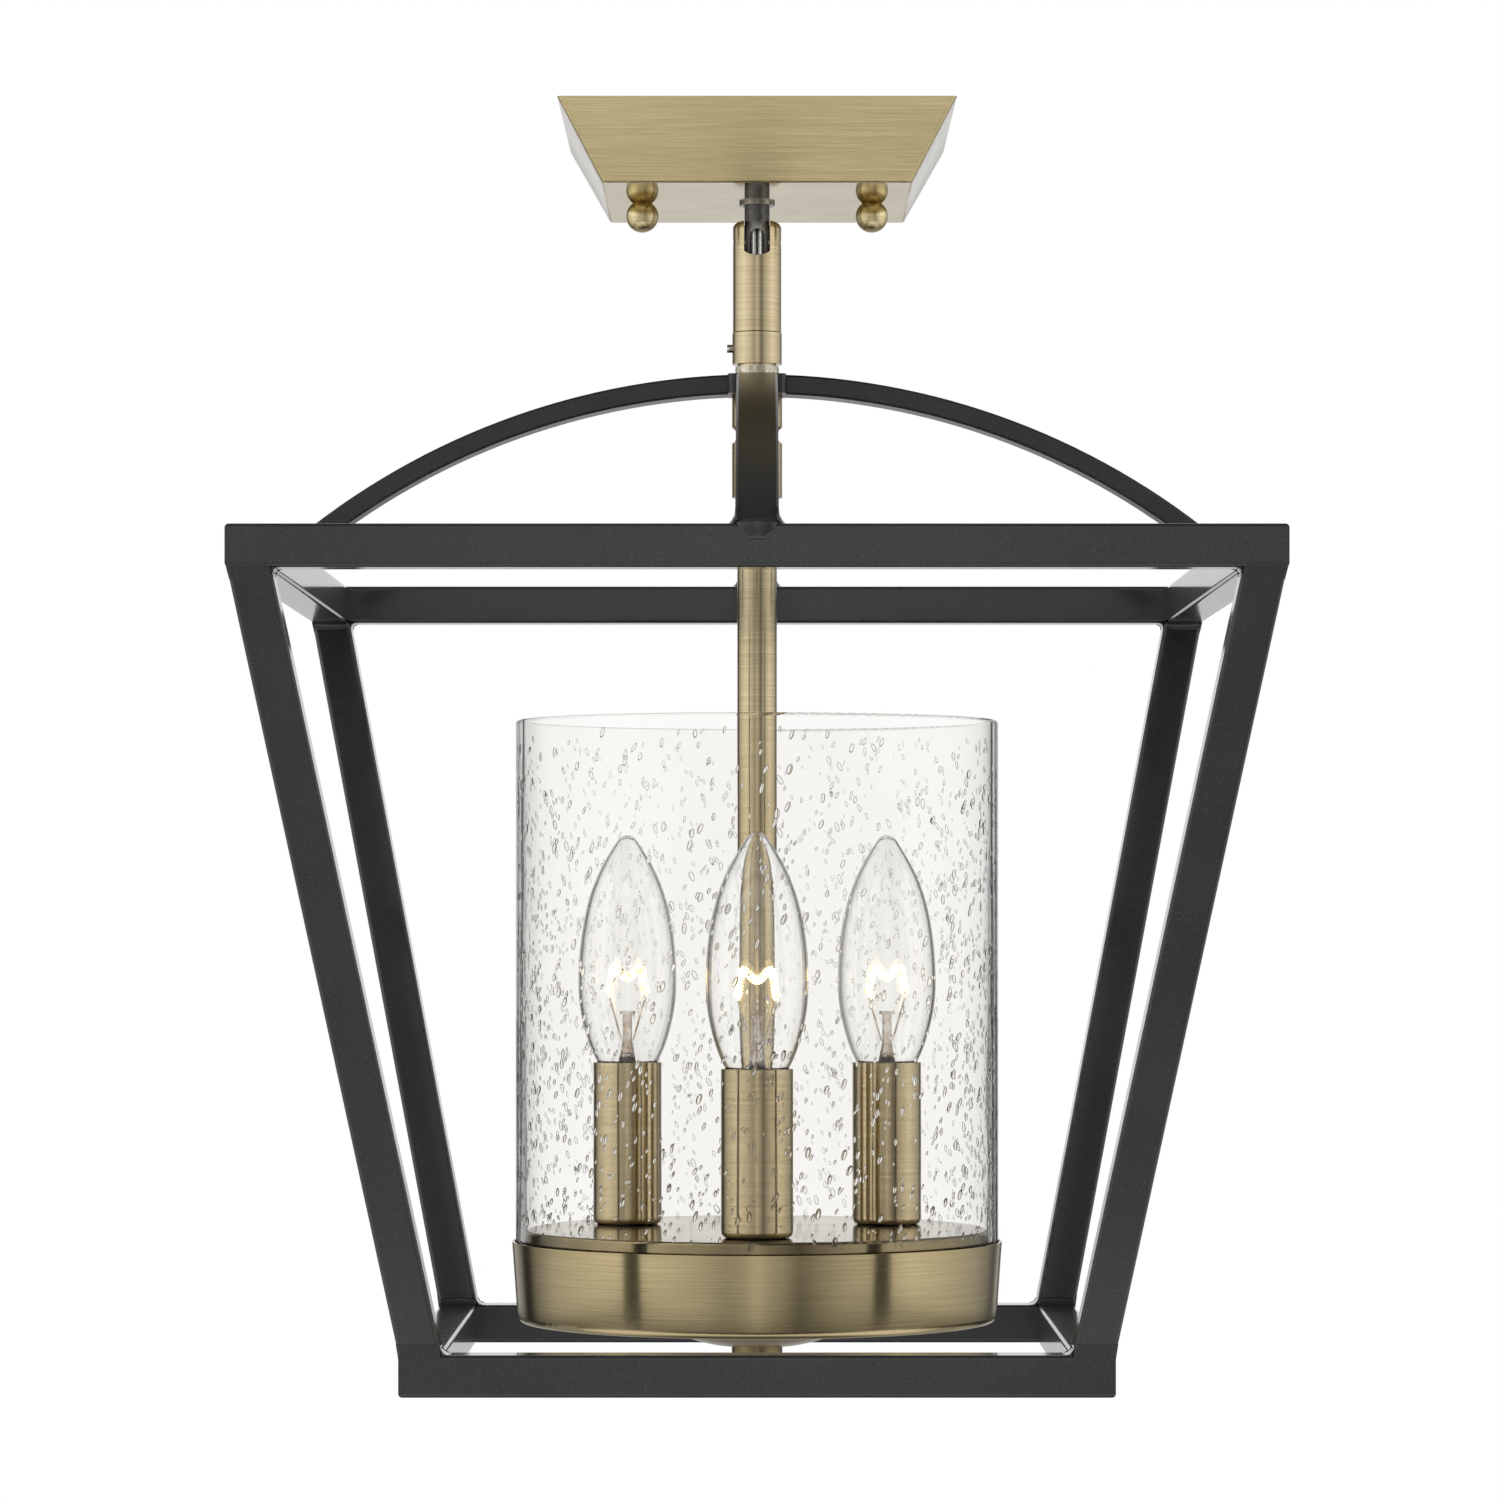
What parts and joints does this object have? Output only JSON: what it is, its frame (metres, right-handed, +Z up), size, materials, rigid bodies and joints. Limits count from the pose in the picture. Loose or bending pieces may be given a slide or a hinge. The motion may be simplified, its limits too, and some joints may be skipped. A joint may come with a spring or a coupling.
{
  "type": "semi flush mount ceiling light",
  "caption": "Ceiling light: square canopy and swivel over a tapered square cage with arched arms, holding a seeded glass cylinder with candle bulbs in a round cup.",
  "frame": {"origin": "on the ceiling, midway between the two box screws, over the middle of the canopy", "axes": "+Z up into the ceiling, +X to the right and +Y away from the viewer of the picture"},
  "size_m": [0.3086, 0.3086, 0.3961],
  "materials": {
    "aged_brass": "brushed, aged, clear coated",
    "black_paint": "satin",
    "gunmetal": "dark plated",
    "zinc_steel": "zinc plated",
    "seeded_glass": "clear, seeded",
    "bulb_glass": "clear",
    "bulb_base": "nickel plated",
    "bulb_mount": "lit filament on a glass stem",
    "socket_black": "moulded",
    "shell_brass": "plain",
    "lead_insulation": "smooth",
    "ground_green": "painted"
  },
  "bodies": {
    "canopy": {"canopy_shell": "aged_brass", "box_strap": "zinc_steel", "stud_strap": "zinc_steel", "strap_eyelet": "zinc_steel", "canopy_studs": "zinc_steel", "ground_screw": "ground_green", "swivel_nipple": "gunmetal", "nipple_washer": "gunmetal", "nipple_locknut": "zinc_steel", "upper_leads": "lead_insulation"},
    "knob_left": {"canopy_knob_left": "aged_brass"},
    "knob_right": {"canopy_knob_right": "aged_brass"},
    "swivel_fork": {"swivel_fork": "aged_brass", "pivot_pins": "zinc_steel"},
    "lantern": {"collar": "aged_brass", "lock_ring": "aged_brass", "hub": "black_paint", "hub_nipple": "zinc_steel", "arch_arm_front": "black_paint", "arch_arm_back": "black_paint", "arch_arm_left": "black_paint", "arch_arm_right": "black_paint", "top_bar_front": "black_paint", "top_bar_back": "black_paint", "top_bar_left": "black_paint", "top_bar_right": "black_paint", "post_front_left": "black_paint", "post_front_right": "black_paint", "post_back_left": "black_paint", "post_back_right": "black_paint", "bottom_bar_front": "black_paint", "bottom_bar_back": "black_paint", "bottom_bar_left": "black_paint", "bottom_bar_right": "black_paint", "upper_coupling": "aged_brass", "lower_coupling": "aged_brass", "stem_tube": "aged_brass", "bottom_nipple": "zinc_steel", "cup": "aged_brass", "socket_plate": "aged_brass", "cup_spacer": "zinc_steel", "bottom_disc": "aged_brass", "candle_sleeve_front": "aged_brass", "candle_sleeve_left": "aged_brass", "candle_sleeve_right": "aged_brass", "socket_bodies": "socket_black", "socket_shells": "shell_brass", "socket_bolts": "zinc_steel"},
    "set_screw": {"set_screw": "aged_brass"},
    "finial": {"finial": "aged_brass"},
    "glass": {"glass_cylinder": "seeded_glass"},
    "bulb_front": {"bulb_envelope_front": "bulb_glass", "bulb_base_front": "bulb_base", "bulb_mount_front": "bulb_mount"},
    "bulb_left": {"bulb_envelope_left": "bulb_glass", "bulb_base_left": "bulb_base", "bulb_mount_left": "bulb_mount"},
    "bulb_right": {"bulb_envelope_right": "bulb_glass", "bulb_base_right": "bulb_base", "bulb_mount_right": "bulb_mount"}
  },
  "joints": [
    {"name": "knob_left_turn", "type": "hinge", "parent": "canopy", "child": "knob_left", "pos_m": [-0.0366, 0, -0.0248], "axis": [0, 0, 1], "continuous": true},
    {"name": "knob_right_turn", "type": "hinge", "parent": "canopy", "child": "knob_right", "pos_m": [0.0366, 0, -0.0248], "axis": [0, 0, 1], "continuous": true},
    {"name": "swivel_tilt", "type": "hinge", "parent": "canopy", "child": "swivel_fork", "pos_m": [0, 0, -0.0374], "axis": [1, 0, 0], "range_deg": [-30, 30]},
    {"name": "lantern_turn", "type": "hinge", "parent": "swivel_fork", "child": "lantern", "pos_m": [0, 0, -0.0661], "axis": [0, 0, 1], "range_deg": [-170, 170]},
    {"name": "set_screw_turn", "type": "hinge", "parent": "lantern", "child": "set_screw", "pos_m": [-0.008, 0, -0.0712], "axis": [-1, 0, 0], "continuous": true},
    {"name": "finial_turn", "type": "hinge", "parent": "lantern", "child": "finial", "pos_m": [0, 0, -0.3865], "axis": [0, 0, 1], "continuous": true},
    {"name": "glass_lift", "type": "slide", "parent": "lantern", "child": "glass", "axis": [0, 0, 1], "range_m": [0, 0.08]},
    {"name": "bulb_front_turn", "type": "hinge", "parent": "lantern", "child": "bulb_front", "pos_m": [0, -0.0486, -0.3065], "axis": [0, 0, 1], "continuous": true},
    {"name": "bulb_left_turn", "type": "hinge", "parent": "lantern", "child": "bulb_left", "pos_m": [-0.04209, 0.0243, -0.3065], "axis": [0, 0, 1], "continuous": true},
    {"name": "bulb_right_turn", "type": "hinge", "parent": "lantern", "child": "bulb_right", "pos_m": [0.04209, 0.0243, -0.3065], "axis": [0, 0, 1], "continuous": true}
  ]
}
